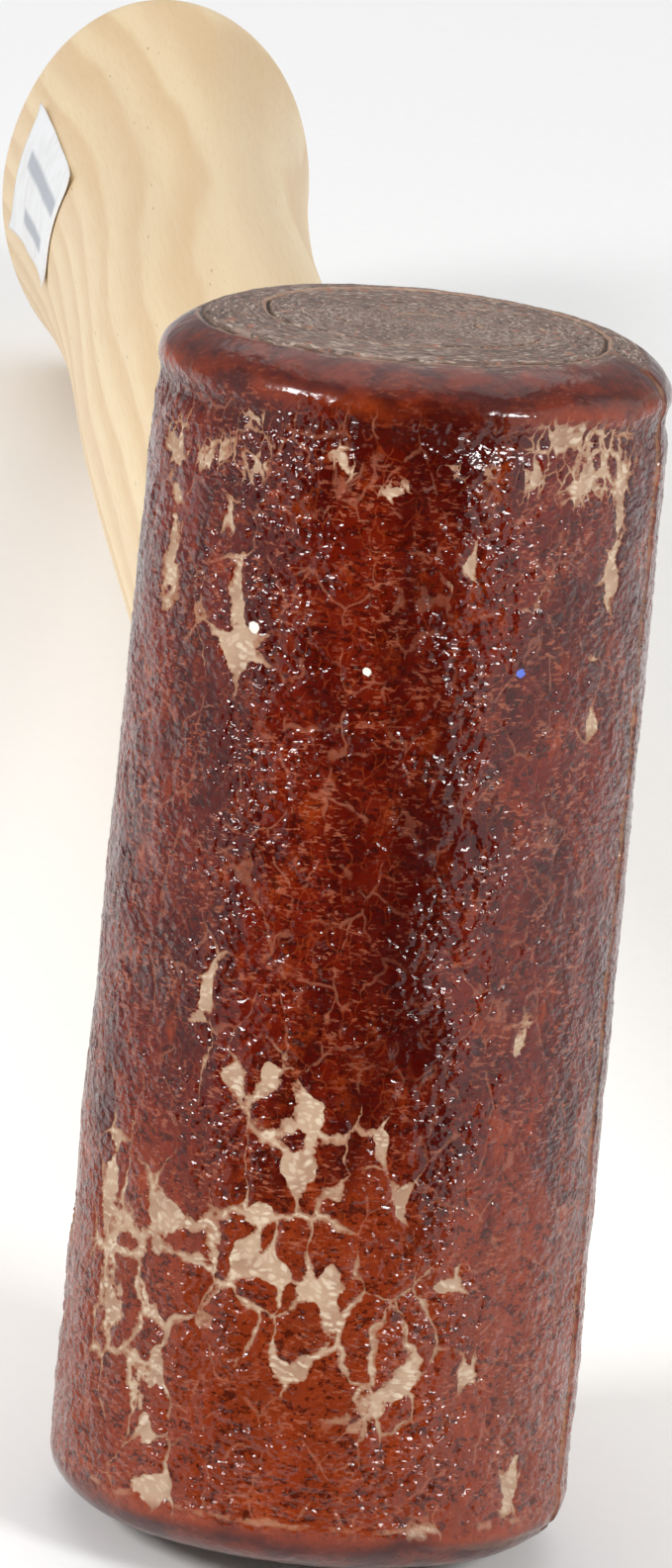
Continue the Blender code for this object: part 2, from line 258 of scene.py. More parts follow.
class Nodes:
    """Short calls that add nodes to a tree. The same calls work in materials and in geometry nodes."""

    def __init__(self, tree):
        self.tree = tree

    def feed(self, socket, value):
        if isinstance(value, bpy.types.NodeSocket):
            self.tree.links.new(value, socket)
        else:
            socket.default_value = value

    def add(self, kind, inputs=(), **settings):
        """Adds a node. The inputs are a dictionary from a socket's name or number to a value or a socket."""
        node = self.tree.nodes.new(kind)
        for name, value in settings.items():
            setattr(node, name, value)
        for key, value in dict(inputs).items():
            self.feed(node.inputs[key], value)
        return node

    def math(self, operation, *values):
        return self.add("ShaderNodeMath", enumerate(values), operation=operation).outputs[0]

    def total(self, first, *others):
        for other in others:
            first = self.math("ADD", first, other)
        return first

    def product(self, first, *others):
        for other in others:
            first = self.math("MULTIPLY", first, other)
        return first

    def inverse(self, value):
        return self.math("SUBTRACT", 1.0, value)

    def vector(self, operation, *values):
        node = self.add("ShaderNodeVectorMath", enumerate(values), operation=operation)
        return node.outputs["Value" if operation in ("LENGTH", "DISTANCE") else "Vector"]

    def scaled(self, place, x, y, z):
        return self.vector("MULTIPLY", place, (x, y, z))

    def smooth(self, value, low, high):
        """0 at low and 1 at high, with soft ends. Low may be above high."""
        inputs = {"Value": value, "From Min": low, "From Max": high}
        node = self.add("ShaderNodeMapRange", inputs, interpolation_type="SMOOTHSTEP")
        return node.outputs["Result"]

    def ramp(self, value, low, high, to_low, to_high):
        inputs = {"Value": value, "From Min": low, "From Max": high, "To Min": to_low, "To Max": to_high}
        return self.add("ShaderNodeMapRange", inputs).outputs["Result"]

    def noise(self, place, size, detail=2.0, roughness=0.5):
        """Noise about 0.5 whose bumps are about this many millimetres wide."""
        inputs = {"Vector": place, "Scale": 1.0 / size, "Detail": detail, "Roughness": roughness}
        return self.add("ShaderNodeTexNoise", inputs).outputs[0]

    def swing(self, place, size, detail=2.0, roughness=0.5):
        """The same noise about 0."""
        return self.total(self.noise(place, size, detail, roughness), -0.5)

    def warped(self, place, size, reach, detail=2.0):
        """The place, pushed to and fro by up to about this reach."""
        inputs = {"Vector": place, "Scale": 1.0 / size, "Detail": detail}
        shift = self.add("ShaderNodeTexNoise", inputs).outputs["Color"]
        centred = self.vector("SUBTRACT", shift, (0.5, 0.5, 0.5))
        return self.vector("MULTIPLY_ADD", centred, (2 * reach,) * 3, place)

    def edge_distance(self, place, size):
        """Distance in millimetres to the nearest border of cells of about this size."""
        inputs = {"Vector": place, "Scale": 1.0 / size}
        node = self.add("ShaderNodeTexVoronoi", inputs, feature="DISTANCE_TO_EDGE")
        return self.product(node.outputs["Distance"], size)

    def dots(self, place, size, radius):
        """1 in round dots of this radius, one in each cell of about this size."""
        inputs = {"Vector": place, "Scale": 1.0 / size}
        node = self.add("ShaderNodeTexVoronoi", inputs, feature="F1")
        return self.smooth(self.product(node.outputs["Distance"], size), radius, radius * 0.5)

    def mix(self, share, first, second):
        inputs = {0: share, 6: first, 7: second}
        return self.add("ShaderNodeMix", inputs, data_type="RGBA").outputs[2]

    def blend(self, share, first, second):
        inputs = {0: share, 2: first, 3: second}
        return self.add("ShaderNodeMix", inputs, data_type="FLOAT").outputs[0]


def rgb(red, green, blue):
    return (red, green, blue, 1.0)


def new_material(name):
    """A material with its tree emptied to a Principled shader, and the calls that add nodes to it."""
    material = bpy.data.materials.new(name)
    material.use_nodes = True
    shader = material.node_tree.nodes["Principled BSDF"]
    return material, shader, Nodes(material.node_tree)


def place_in_mm(n):
    """The place on the piece, in its own frame and in millimetres, from a material's tree."""
    coordinates = n.add("ShaderNodeTexCoord").outputs["Object"]
    return n.scaled(coordinates, MM, MM, MM)


def add_bump(n, shader, height, strength=1.0):
    """Bump from a height in millimetres."""
    inputs = {"Strength": strength, "Distance": 1.0 / MM, "Height": height}
    n.feed(shader.inputs["Normal"], n.add("ShaderNodeBump", inputs).outputs["Normal"])


# The head's frame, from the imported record


def head_frame():
    """Matrix of the head's own frame, and half the head's length."""
    faces = {mount["name"]: mount for mount in frame["record"]["mounts"]}
    top = Vector(faces["upper_striking_face"]["pos_m"])
    foot = Vector(faces["lower_striking_face"]["pos_m"])
    up = (top - foot).normalized()
    across = Vector((1.0, 0.0, 0.0))
    matrix = Matrix((across, up.cross(across), up)).transposed().to_4x4()
    matrix.translation = (top + foot) / 2
    return matrix, (top - foot).length / 2


HEAD_FRAME, HALF_LENGTH = head_frame()
HEAD_LOW, HEAD_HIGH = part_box("rawhide_coil")
HEAD_FOOT_RADIUS = (HEAD_HIGH.x - HEAD_LOW.x) / 2


# Meshes made of rings


def ring_faces(above, below, start_above, start_below):
    """Faces between two rings of a stack. Each ring has as many columns as the other, half or twice."""
    faces = []
    if above == below:
        for j in range(above):
            k = (j + 1) % above
            faces.append((start_above + j, start_below + j, start_below + k, start_above + k))
    elif below == 2 * above:
        for j in range(above):
            k = (j + 1) % above
            here = start_below + 2 * j
            after = start_below + (2 * j + 2) % below
            faces.append((start_above + j, here, here + 1))
            faces.append((start_above + j, here + 1, start_above + k))
            faces.append((start_above + k, here + 1, after))
    else:
        for j in range(below):
            k = (j + 1) % below
            here = start_above + 2 * j
            after = start_above + (2 * j + 2) % above
            faces.append((here, start_below + j, here + 1))
            faces.append((here + 1, start_below + j, start_below + k))
            faces.append((here + 1, start_below + k, after))
    return faces


def stacked_mesh(name, rings, section):
    """A closed mesh of rings (radius, distance, columns) between two poles.

    section(radius, distance, angles) gives a ring's points. The rings go against the axis that their
    angles turn round, so that the faces point out.
    """
    points = [section(0.0, rings[0][1], np.zeros(1))]
    starts = []
    count = 1
    for radius, distance, columns in rings:
        points.append(section(radius, distance, np.arange(columns) * 2 * math.pi / columns))
        starts.append(count)
        count += columns
    points.append(section(0.0, rings[-1][1], np.zeros(1)))
    first = rings[0][2]
    last = rings[-1][2]
    faces = [(0, starts[0] + j, starts[0] + (j + 1) % first) for j in range(first)]
    for i in range(len(rings) - 1):
        faces += ring_faces(rings[i][2], rings[i + 1][2], starts[i], starts[i + 1])
    faces += [(starts[-1] + j, count, starts[-1] + (j + 1) % last) for j in range(last)]
    mesh = bpy.data.meshes.new(name)
    mesh.from_pydata(np.concatenate(points).tolist(), [], faces)
    mesh.shade_smooth()
    return mesh


def columns_for(radius, most, spacing):
    """The largest halving of the most columns that keeps neighbours this far apart or a little less."""
    columns = most
    while columns > 8 and columns / 2 * spacing > 2 * math.pi * radius * 0.8:
        columns //= 2
    return columns


def add_piece(name, mesh, matrix=HEAD_FRAME):
    piece = bpy.data.objects.new(name, mesh)
    bpy.context.scene.collection.objects.link(piece)
    piece.matrix_world = matrix
    return piece


def evaluated_mesh(piece):
    bpy.context.view_layer.update()
    graph = bpy.context.evaluated_depsgraph_get()
    return bpy.data.meshes.new_from_object(piece.evaluated_get(graph))


def apply_modifiers(piece):
    old = piece.data
    piece.data = evaluated_mesh(piece)
    piece.modifiers.clear()
    bpy.data.meshes.remove(old)


def cut(piece, cutter_mesh):
    """Cuts a closed mesh, given in the head's frame, out of the piece."""
    cutter = add_piece("cutter", cutter_mesh)
    modifier = piece.modifiers.new("cut", "BOOLEAN")
    modifier.operation = "DIFFERENCE"
    modifier.solver = "MANIFOLD"
    modifier.object = cutter
    apply_modifiers(piece)
    piece.data.materials.clear()  # the cut leaves an empty slot
    bpy.data.objects.remove(cutter, do_unlink=True)
    bpy.data.meshes.remove(cutter_mesh)


# Rawhide head: shape


def round_section(radius, distance, angles):
    return np.stack([radius * np.cos(angles), radius * np.sin(angles), np.full(len(angles), distance)], 1)


def cap_rings(radius, height):
    """Rings of a striking face, from its middle out to the start of the rim."""
    steps = int(radius / CAP_STEP)
    rings = []
    for i in range(1, steps):
        here = radius * i / steps
        rings.append((here, height, columns_for(here, HEAD_COLUMNS, CAP_STEP)))
    return rings


def rim_rings(radius, sign):
    """Rings of a rounded rim, from the striking face to the side."""
    rings = []
    for i in range(RIM_RINGS + 1):
        angle = math.pi / 2 * i / RIM_RINGS
        inward = RIM_INSET * (1 - math.sin(angle))
        height = HALF_LENGTH - RIM_DROP * (1 - math.cos(angle))
        rings.append((radius - inward, sign * height, HEAD_COLUMNS))
    return rings


def head_rings():
    top = cap_rings(HEAD_TOP_RADIUS - RIM_INSET, HALF_LENGTH) + rim_rings(HEAD_TOP_RADIUS, 1)
    foot = cap_rings(HEAD_FOOT_RADIUS - RIM_INSET, -HALF_LENGTH) + rim_rings(HEAD_FOOT_RADIUS, -1)
    side_top = HALF_LENGTH - RIM_DROP
    steps = int(2 * side_top / HEAD_STEP)
    side = []
    for i in range(1, steps):
        share = i / steps
        radius = HEAD_TOP_RADIUS + share * (HEAD_FOOT_RADIUS - HEAD_TOP_RADIUS)
        side.append((radius, side_top * (1 - 2 * share), HEAD_COLUMNS))
    return top + side + foot[::-1]


def worn_places():
    """The worn places that are named above, and random ones round the back."""
    rng = random.Random(BACK_SEED)
    places = list(WORN_PLACES)
    for _ in range(BACK_WORN_PLACES):
        angle = rng.uniform(*BACK_ANGLES)
        height = rng.choice((-1, 1)) * BACK_REACH * rng.random() ** 0.7
        wide = rng.uniform(0.8, 2.4)
        tall = rng.uniform(0.8, 3.2)
        places.append((angle, height, wide, tall, rng.uniform(-30, 30), rng.uniform(0.6, 1.2)))
    return places


def store_wear(mesh):
    """Writes on each vertex how worn the lacquer is there: 0 is sound, and 1 or more is bare."""
    co = np.empty(len(mesh.vertices) * 3, np.float32)
    mesh.vertices.foreach_get("co", co)
    x, y, z = (co.reshape(-1, 3) * MM).T
    angle = np.arctan2(x, -y)
    wear = np.zeros(len(z))
    for degrees, height, wide, tall, lean, strength in worn_places():
        turn = (angle - math.radians(degrees) + math.pi) % (2 * math.pi) - math.pi
        across = turn * HEAD_FOOT_RADIUS * MM
        along = z - height
        c, s = math.cos(math.radians(lean)), math.sin(math.radians(lean))
        u = (across * c + along * s) / wide
        v = (along * c - across * s) / tall
        reach = u * u + v * v
        for share, falloff in (WEAR_CORE, WEAR_HALO):
            wear += strength * share * np.exp(-falloff * reach)
    layer = mesh.attributes.new("wear", "FLOAT", "POINT")
    layer.data.foreach_set("value", np.minimum(wear, MOST_WEAR).astype(np.float32))


def seam_offset(n, x, y, radius):
    """Distance in millimetres from the nearest turn of the spiral seam, outward positive, and how many
    turns of the strip lie outside it.
    """
    azimuth = n.math("ARCTAN2", y, x)
    turned = n.math("FRACT", n.product(n.math("SUBTRACT", azimuth, LAP_AZIMUTH), 0.5 / math.pi))
    start = (HEAD_FOOT_RADIUS - SEAM_DEPTH_AT_LAP) * MM
    thickness = HIDE_THICKNESS * MM
    inward = n.math("SUBTRACT", n.math("DIVIDE", n.math("SUBTRACT", start, radius), thickness), turned)
    centred = n.math("SUBTRACT", n.math("FRACT", n.total(inward, 0.5)), 0.5)
    return n.product(centred, -thickness), inward


def lap_offset(n, x, y):
    """Distance in millimetres round the head from the strip's outer edge."""
    c, s = math.cos(LAP_AZIMUTH), math.sin(LAP_AZIMUTH)
    along = n.total(n.product(x, c), n.product(y, s))
    across = n.math("SUBTRACT", n.product(y, c), n.product(x, s))
    return n.product(n.math("ARCTAN2", across, along), HEAD_FOOT_RADIUS * MM)


def film_pattern(n, place, wear, height_up, side):
    """The lacquer, shrunk into islands with finer flakes inside them, and the hide where it has gone."""
    drift = n.warped(n.warped(place, 4.0, 1.5), 0.9, 0.22)
    island_edge = n.edge_distance(n.scaled(drift, 1, 1, 0.68), ISLAND_SIZE)
    flake_edge = n.edge_distance(n.scaled(drift, 1, 1, 0.55), FLAKE_SIZE)
    lace = n.smooth(height_up, LACE_FROM, LACE_TO)
    net = n.blend(lace, island_edge, n.product(flake_edge, 1.6))
    uneven = n.product(n.swing(place, 1.8, 3.0, 0.6), n.smooth(wear, 0.05, 0.4))
    worn = n.total(wear, uneven)
    web = n.total(n.ramp(worn, 0.14, 0.34, 0.0, 0.25), n.ramp(worn, 0.42, 1.0, 0.0, 1.3))
    nibbled = n.product(n.swing(n.scaled(place, 1, 1, 1.6), 0.6), 0.5)
    web = n.total(web, n.product(nibbled, n.smooth(worn, 0.1, 0.5)))
    edge_depth = n.math("SUBTRACT", web, net)
    bare = n.product(n.smooth(edge_depth, -0.06, 0.06), n.smooth(worn, 0.13, 0.18), side)
    broken = n.smooth(n.noise(place, 1.8, 3.0), 0.44, 0.56)
    scattered = n.smooth(n.noise(place, 1.6, 4.0, 0.7), 0.44, 0.56)
    return {
        "bare": bare,
        "film": n.inverse(bare),
        "edge_depth": edge_depth,
        "island_edge": island_edge,
        "island_crack": n.product(n.smooth(island_edge, 0.13, 0.03), side, broken),
        "flake_crack": n.product(n.smooth(flake_edge, 0.075, 0.015), side, scattered),
        "ripples": n.swing(n.scaled(drift, 1, 1, 1.9), 1.3, 2.5, 0.55),
        "hide_bumps": n.dots(n.scaled(drift, 1, 1, 1.9), 0.80, 0.44),
    }


def lap_pattern(n, place, x, y):
    """The strip's outer edge, down the side: a crack that is open in places, and the raised leaf."""
    lap = n.total(lap_offset(n, x, y), n.product(n.swing(place, 5.0, 4.0, 0.6), 2.2))
    parted = n.ramp(n.noise(n.scaled(place, 1, 1, 0.5), 4.0, 2.0), 0.42, 0.60, 0.15, 1.0)
    return {
        "lap_crack": n.product(n.smooth(n.math("ABSOLUTE", lap), 0.42, 0.08), parted),
        "lap_leaf": n.product(n.smooth(lap, -0.1, 0.1), n.smooth(lap, LAP_LEAF_WIDTH, 0.1)),
    }


def face_pattern(n, place, x, y, below_face, ragged):
    """A striking face: the cut hide's fibres, and the spiral seam with its lips."""
    radius = n.vector("LENGTH", n.scaled(place, 1, 1, 0))
    wandering = n.total(radius, n.product(n.swing(place, 5.0, 3.0), 0.7))
    seam, turns = seam_offset(n, x, y, wandering)
    cut_depth = n.blend(n.smooth(turns, -0.03, 0.02), 0.10, 0.8)
    below_cut = n.math("SUBTRACT", below_face, cut_depth)
    inner_width = n.ramp(n.noise(place, 6.0, 1.0), 0.50, 0.66, -0.08, 0.10)
    seam_width = n.blend(n.smooth(turns, 2.2, 1.0), inner_width, 0.12)
    on_face = n.product(n.smooth(radius, 1.8, 2.4), n.smooth(below_face, 3.2, 1.2))
    inside = n.math("SUBTRACT", seam_width, n.math("ABSOLUTE", seam))
    from_lip = n.math("SUBTRACT", n.math("ABSOLUTE", n.total(seam, -0.15)), seam_width)
    lips = n.product(n.smooth(from_lip, 0.30, 0.08), n.smooth(seam_width, -0.02, 0.04))
    round_axis = n.vector("NORMALIZE", n.scaled(place, 1, 1, 0))
    fibre_place = n.add("ShaderNodeCombineXYZ", {2: n.product(wandering, 2.6)}).outputs[0]
    fibre_place = n.vector("MULTIPLY_ADD", round_axis, (5.0, 5.0, 0.0), fibre_place)
    return {
        "end": n.smooth(below_cut, n.total(ragged, 0.5), n.total(ragged, -0.1)),
        "seam_crack": n.product(n.smooth(inside, -0.12, 0.05), on_face),
        "seam_lips": n.product(lips, on_face),
        "fibre_place": fibre_place,
        "fibres": n.swing(fibre_place, 1.0, 5.0, 0.6),
    }


def skin_height(n, place, pattern):
    """Height of the skin above the plain shape, in millimetres."""
    bare, film, side = pattern["bare"], pattern["film"], pattern["side"]
    off_end = n.inverse(pattern["end"])
    lumps = n.product(n.swing(place, 10.0, 1.0), 0.5)
    dome = n.smooth(pattern["island_edge"], 0.0, 1.3)
    below_rim_foot = n.total(pattern["below_face"], -RIM_DROP * MM)
    from_groove = n.math("ABSOLUTE", n.total(below_rim_foot, -GROOVE_BELOW_RIM_FOOT))
    groove = n.smooth(from_groove, GROOVE_HALF_WIDTH, 0.0)
    groove = n.product(groove, n.ramp(n.noise(place, 14.0, 1.0), 0.35, 0.65, 0.6, 1.3))
    groove = n.product(groove, n.ramp(pattern["height_up"], -30.0, 30.0, FOOT_GROOVE_SHARE, 1.0))
    from_shoulder = n.math("ABSOLUTE", n.total(below_rim_foot, SHOULDER_ABOVE_RIM_FOOT))
    shoulder = n.smooth(from_shoulder, SHOULDER_HALF_WIDTH, 0.0)
    return n.total(
        lumps,
        n.product(film, FILM_THICKNESS),
        n.product(dome, film, side, 0.07),
        n.product(pattern["ripples"], film, n.ramp(side, 0, 1, 0.3, 1.0), 0.30),
        n.product(pattern["island_crack"], -0.06),
        n.product(pattern["flake_crack"], -0.03),
        n.product(pattern["hide_bumps"], bare, 0.05),
        n.product(groove, -GROOVE_DEPTH),
        n.product(shoulder, n.ramp(pattern["height_up"], -30.0, 30.0, 0.0, SHOULDER_HEIGHT)),
        n.product(pattern["lap_crack"], off_end, -LAP_DEPTH),
        n.product(pattern["lap_leaf"], off_end, LAP_LEAF_HEIGHT),
        n.product(pattern["seam_crack"], -SEAM_CRACK_DEPTH),
        n.product(pattern["fibres"], pattern["end"], 0.25),
    )


def skin_pattern(n, place, wear):
    """The state of the head's skin at a place: masks from 0 to 1, distances and the height in mm."""
    axes = n.add("ShaderNodeSeparateXYZ", {0: place}).outputs
    x, y, height_up = axes[0], axes[1], axes[2]
    below_face = n.math("SUBTRACT", HALF_LENGTH * MM, n.math("ABSOLUTE", height_up))
    ragged = n.product(n.swing(place, 2.0, 3.0), 1.2)
    side = n.smooth(n.total(below_face, ragged), RIM_DROP * MM * 0.7, RIM_DROP * MM * 1.2)
    pattern = {"height_up": height_up, "below_face": below_face, "side": side}
    pattern.update(film_pattern(n, place, wear, height_up, side))
    pattern.update(lap_pattern(n, place, x, y))
    pattern.update(face_pattern(n, place, x, y, below_face, ragged))
    pattern["height"] = skin_height(n, place, pattern)
    return pattern


def add_relief(piece):
    """Moves the piece's skin along its normals by the pattern's height."""
    group = bpy.data.node_groups.new("skin_relief", "GeometryNodeTree")
    group.interface.new_socket("Geometry", in_out="INPUT", socket_type="NodeSocketGeometry")
    group.interface.new_socket("Geometry", in_out="OUTPUT", socket_type="NodeSocketGeometry")
    n = Nodes(group)
    shape = n.add("NodeGroupInput").outputs[0]
    place = n.scaled(n.add("GeometryNodeInputPosition").outputs[0], MM, MM, MM)
    wear = n.add("GeometryNodeInputNamedAttribute", {"Name": "wear"}, data_type="FLOAT").outputs[0]
    pattern = skin_pattern(n, place, wear)
    clear = n.smooth(n.vector("LENGTH", place), SOCKET_CLEAR_FROM, SOCKET_CLEAR_TO)
    normal = n.add("GeometryNodeInputNormal").outputs[0]
    rise = n.product(pattern["height"], clear, 1.0 / MM)
    offset = n.add("ShaderNodeVectorMath", {0: normal, "Scale": rise}, operation="SCALE").outputs[0]
    moved = n.add("GeometryNodeSetPosition", {"Geometry": shape, "Offset": offset})
    n.add("NodeGroupOutput", {0: moved.outputs[0]})
    piece.modifiers.new("relief", "NODES").node_group = group


def make_rawhide_head():
    mesh = stacked_mesh("rawhide_head", head_rings(), round_section)
    head = add_piece("rawhide_head", mesh)
    cut(head, socket_mesh())
    store_wear(head.data)
    add_relief(head)
    apply_modifiers(head)
    head.data.materials.append(rawhide_material())
    return head


# Rawhide head: material

LACQUER_RED = rgb(0.118, 0.0065, 0.0011)
LACQUER_DARK = rgb(0.056, 0.0018, 0.0006)
LACQUER_THIN = rgb(0.27, 0.034, 0.004)
# painted reflection of the pale floor, low on the side
PAINTED_FLOOR_REFLECTION = rgb(0.27, 0.040, 0.008)
# painted dark reflection, in a band down the front
PAINTED_DARK_REFLECTION = rgb(0.042, 0.0012, 0.0004)
RIM_BROWN = rgb(0.130, 0.015, 0.004)
RIM_DARK = rgb(0.050, 0.005, 0.003)
# painted glow of light, low on the rim
RIM_PAINTED_GLOW = rgb(0.27, 0.036, 0.005)
TROUGH_COLOUR = rgb(0.024, 0.0015, 0.0008)
DASH_COLOUR = rgb(0.33, 0.095, 0.048)
# painted shade under the upper rim's shoulder
RIM_SHADE_COLOUR = rgb(0.050, 0.0035, 0.0015)
RUBBED_COLOUR = rgb(0.38, 0.17, 0.095)
FLAKE_CRACK_COLOUR = rgb(0.32, 0.055, 0.014)
ISLAND_CRACK_COLOUR = rgb(0.36, 0.125, 0.070)
HIDE_TAN = rgb(0.43, 0.285, 0.185)
HIDE_BROWN = rgb(0.33, 0.190, 0.115)
HIDE_GRAIN = rgb(0.60, 0.48, 0.35)
HIDE_EDGE = rgb(0.30, 0.13, 0.065)
CUT_DARK = rgb(0.12, 0.076, 0.062)
CUT_PALE = rgb(0.27, 0.195, 0.160)
CUT_GRIME = rgb(0.105, 0.064, 0.050)
CUT_PIT = rgb(0.050, 0.030, 0.025)
CUT_DUST = rgb(0.46, 0.37, 0.30)
CUT_SPECK = rgb(0.33, 0.12, 0.07)
SEAM_LIP_COLOUR = rgb(0.40, 0.235, 0.15)
SEAM_CRACK_COLOUR = rgb(0.035, 0.018, 0.012)
LAP_COLOUR = rgb(0.36, 0.19, 0.10)
CHIP_WHITE = rgb(0.86, 0.80, 0.68)
FLECK_BLUE = rgb(0.10, 0.16, 0.62)
RIM_ROUGHNESS = 0.20
HIDE_ROUGHNESS = 0.62
CUT_ROUGHNESS = 0.72


def spot(n, place, degrees, height, radius):
    """A round mark on the head's side."""
    angle = math.radians(degrees)
    side = HEAD_FOOT_RADIUS * MM
    centre = (side * math.sin(angle), -side * math.cos(angle), height)
    ragged = n.warped(place, 0.5, 0.15)
    return n.smooth(n.vector("DISTANCE", ragged, centre), radius, radius * 0.85)


def lacquer_with_painted_light(n, place, height_up):
    """Translucent red-brown film: orange where it is thin and darker in random stains, with painted light on
    it:
    lighter low down as a painted reflection of the pale floor, and nearly black-red in a band of painted dark
    reflection down the front.

    The second result is how plainly its hairlines show: less within that painted dark reflection.
    """
    stain = n.noise(n.scaled(place, 1, 1, 0.4), 5.0, 4.0, 0.6)
    thin = n.smooth(n.noise(n.scaled(place, 1, 1, 0.6), 2.6, 4.0, 0.65), 0.52, 0.74)
    colour = n.mix(n.smooth(stain, 0.38, 0.62), LACQUER_RED, LACQUER_DARK)
    colour = n.mix(n.product(thin, 0.75), colour, LACQUER_THIN)
    # Painted reflection of the pale floor: lighter, more orange lacquer low on the side
    low = n.smooth(n.total(height_up, n.product(stain, 24.0)), 2.0, -14.0)
    colour = n.mix(n.product(low, 0.5), colour, PAINTED_FLOOR_REFLECTION)
    # Painted dark reflection: a nearly black-red band down the front, where the hairlines show less
    dark_reflection_place = n.vector("SUBTRACT", n.scaled(place, 1, 1, 0), (DARK_REFLECTION_AT, -HEAD_FOOT_RADIUS * MM, 0.0))
    dark_reflection = n.smooth(n.vector("LENGTH", dark_reflection_place), 6.0, 0.5)
    dark_reflection = n.product(dark_reflection, n.ramp(stain, 0.35, 0.6, 0.3, 1.0), n.inverse(low))
    colour = n.mix(n.product(dark_reflection, 0.9), colour, PAINTED_DARK_REFLECTION)
    return colour, n.inverse(n.product(dark_reflection, 0.7))


def rim_colour_and_painted_glow(n, place, below_face):
    """Darker lacquer on the rim, with a warm glow of light painted low on it."""
    stain = n.noise(n.scaled(place, 1, 1, 1.6), 3.0, 4.0, 0.6)
    colour = n.mix(n.smooth(stain, 0.36, 0.62), RIM_BROWN, RIM_DARK)
    # Painted glow of light, in a band low on the rim
    painted_glow_band = n.product(n.smooth(below_face, 2.2, 3.6), n.smooth(below_face, 5.6, 4.2))
    patchy = n.smooth(n.noise(place, 9.0, 2.0), 0.38, 0.6)
    return n.mix(n.product(painted_glow_band, patchy, 0.85), colour, RIM_PAINTED_GLOW)


def add_wrinkles(n, place, colour, ripples, plain):
    """Darker in the troughs of the ripples, and short pale dashes where it has rubbed thin."""
    grain = n.swing(n.scaled(place, 1, 1, 1.5), 0.45, 3.0, 0.7)
    troughs = n.smooth(n.product(n.total(ripples, grain), 0.8), -0.02, -0.13)
    colour = n.mix(n.product(troughs, 0.75), colour, TROUGH_COLOUR)
    dashes = n.total(n.noise(n.scaled(place, 1, 1, 2.6), 0.75, 2.5, 0.6), n.product(ripples, 0.25))
    dashes = n.product(n.smooth(dashes, 0.55, 0.63), n.smooth(n.noise(place, 4.0, 2.0), 0.40, 0.58))
    return n.mix(n.product(dashes, plain, 0.62), colour, DASH_COLOUR)


def add_rim_shade_and_rubbed_line(n, place, colour, pattern):
    """Painted shade in a band under the upper rim's shoulder, and a tan line rubbed along the lower one."""
    below_face = pattern["below_face"]
    upper = n.smooth(pattern["height_up"], -10.0, 10.0)
    # Painted shade, in the groove under the upper rim's shoulder
    shade_under_rim = n.product(n.smooth(below_face, 4.3, 5.2), n.smooth(below_face, 7.0, 5.6))
    shade_under_rim = n.product(shade_under_rim, pattern["film"], upper)
    colour = n.mix(n.product(shade_under_rim, 0.75), colour, RIM_SHADE_COLOUR)
    wander = n.product(n.noise(place, 2.0), 1.2)
    from_line = n.math("ABSOLUTE", n.total(below_face, wander, -4.9))
    rubbed = n.product(n.smooth(from_line, 0.35, 0.10), n.inverse(upper))
    rubbed = n.product(rubbed, n.smooth(n.noise(place, 2.5, 3.0), 0.45, 0.58))
    return n.mix(n.product(rubbed, 0.7), colour, RUBBED_COLOUR)


def film_colour(n, place, pattern):
    """The lacquer on the side and the rims, with its cracks."""
    lacquer, lined = lacquer_with_painted_light(n, place, pattern["height_up"])
    lacquer = add_wrinkles(n, place, lacquer, pattern["ripples"], lined)
    rim = rim_colour_and_painted_glow(n, place, pattern["below_face"])
    rim = n.mix(0.3, rim, add_wrinkles(n, place, rim, pattern["ripples"], lined))
    colour = n.mix(pattern["side"], rim, lacquer)
    colour = add_rim_shade_and_rubbed_line(n, place, colour, pattern)
    colour = n.mix(n.product(pattern["flake_crack"], lined, 0.30), colour, FLAKE_CRACK_COLOUR)
    return n.mix(n.product(pattern["island_crack"], lined, 0.40), colour, ISLAND_CRACK_COLOUR)


def hide_colour(n, place, pattern):
    """Bare hide in the worn places: tan, with pale grain bumps and a stained edge."""
    colour = n.mix(n.smooth(n.noise(place, 3.0, 3.0), 0.4, 0.65), HIDE_TAN, HIDE_BROWN)
    patchy = n.ramp(n.noise(place, 2.2, 1.0), 0.40, 0.62, 0.4, 1.0)
    colour = n.mix(n.product(pattern["hide_bumps"], patchy, 0.9), colour, HIDE_GRAIN)
    return n.mix(n.smooth(pattern["edge_depth"], 0.22, 0.02), colour, HIDE_EDGE)


def cut_hide_colour(n, place, pattern):
    """The striking faces: grey-brown fibres with dark pits, dust and reddish specks."""
    colour = n.mix(n.smooth(pattern["fibres"], -0.22, 0.18), CUT_DARK, CUT_PALE)
    grimy = n.smooth(n.noise(place, 7.0, 3.0), 0.42, 0.60)
    colour = n.mix(n.product(grimy, 0.5), colour, CUT_GRIME)
    strands = n.scaled(pattern["fibre_place"], 2.6, 2.6, 1.3)
    pits = n.smooth(n.noise(strands, 1.0, 2.0, 0.6), 0.50, 0.38)
    colour = n.mix(n.product(pits, 0.75), colour, CUT_PIT)
    dust = n.smooth(n.noise(n.vector("ADD", strands, (0, 0, 57)), 0.9, 2.0, 0.6), 0.54, 0.66)
    colour = n.mix(n.product(dust, 0.75), colour, CUT_DUST)
    specks = n.smooth(n.noise(n.vector("ADD", place, (31, 7, 0)), 1.0, 4.0, 0.7), 0.56, 0.66)
    return n.mix(n.product(specks, 0.7), colour, CUT_SPECK)


def rawhide_colour(n, place, pattern):
    colour = n.mix(pattern["bare"], film_colour(n, place, pattern), hide_colour(n, place, pattern))
    colour = n.mix(pattern["end"], colour, cut_hide_colour(n, place, pattern))
    colour = n.mix(n.product(pattern["seam_lips"], 0.6), colour, SEAM_LIP_COLOUR)
    colour = n.mix(n.product(pattern["seam_crack"], 0.9), colour, SEAM_CRACK_COLOUR)
    lap_crack = n.product(pattern["lap_crack"], n.inverse(pattern["end"]))
    colour = n.mix(n.product(lap_crack, 0.85), colour, LAP_COLOUR)
    for chip in CHIPS:
        colour = n.mix(spot(n, place, *chip), colour, CHIP_WHITE)
    return n.mix(spot(n, place, *FLECK), colour, FLECK_BLUE)


